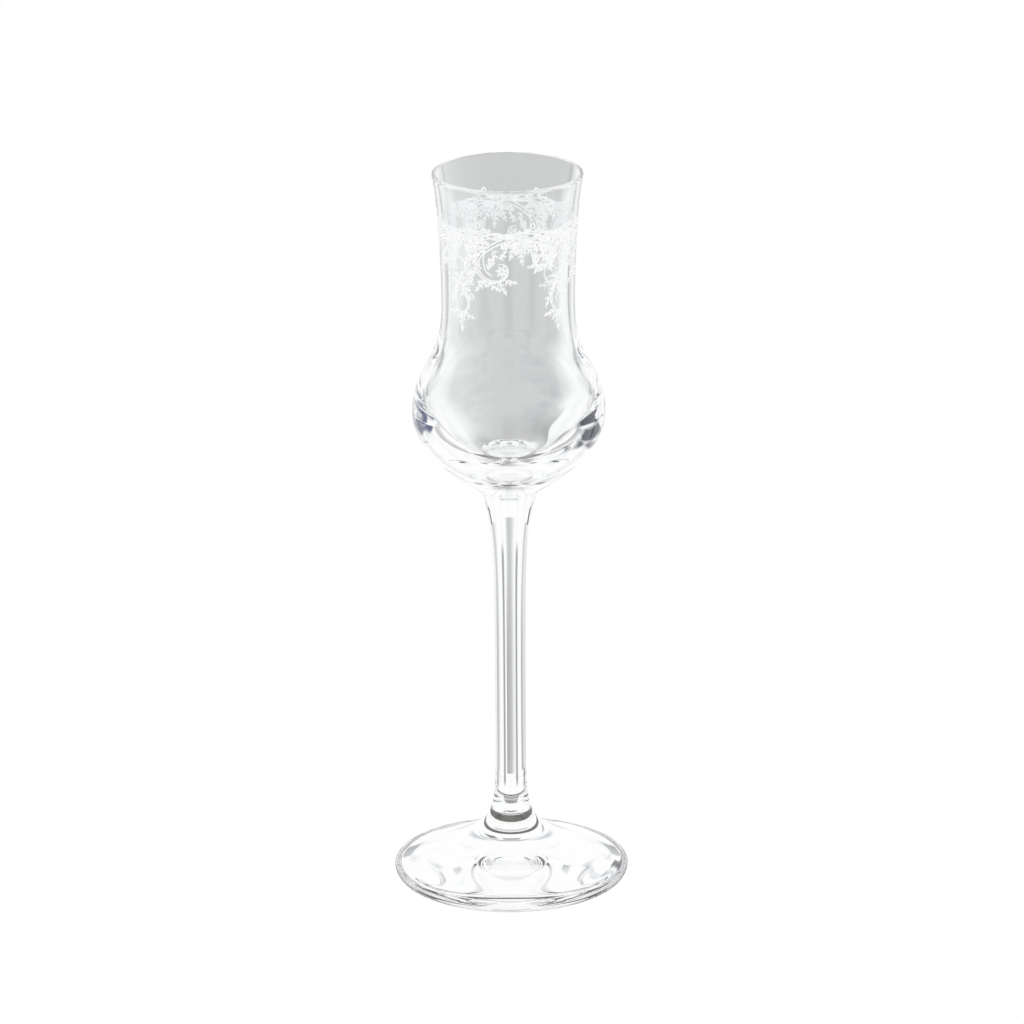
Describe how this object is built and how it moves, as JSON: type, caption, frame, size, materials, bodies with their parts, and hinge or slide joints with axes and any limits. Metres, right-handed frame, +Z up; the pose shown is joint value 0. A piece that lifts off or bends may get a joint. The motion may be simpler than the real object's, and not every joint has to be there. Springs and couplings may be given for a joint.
{
  "type": "stemmed shot glass",
  "caption": "Tall tulip-shaped spirits glass: a bowl with a narrow neck on a solid drawn stem and a wide flared foot, etched with scrollwork below the rim.",
  "frame": {"origin": "centre of the foot, on the surface that the glass stands on", "axes": "+Z up along the axis of revolution, from the foot to the rim; X and Y are horizontal, with -Y towards the viewer"},
  "size_m": [0.064, 0.064, 0.2],
  "materials": {
    "bowl_glass": "clear fire-polished crystal, frosted scrollwork etched on the outside below the rim",
    "stem_glass": "clear drawn crystal, solid",
    "foot_glass": "clear pressed and fire-polished crystal, solid"
  },
  "bodies": {
    "root": {"bowl": "bowl_glass", "stem": "stem_glass", "foot": "foot_glass"}
  },
  "joints": []
}
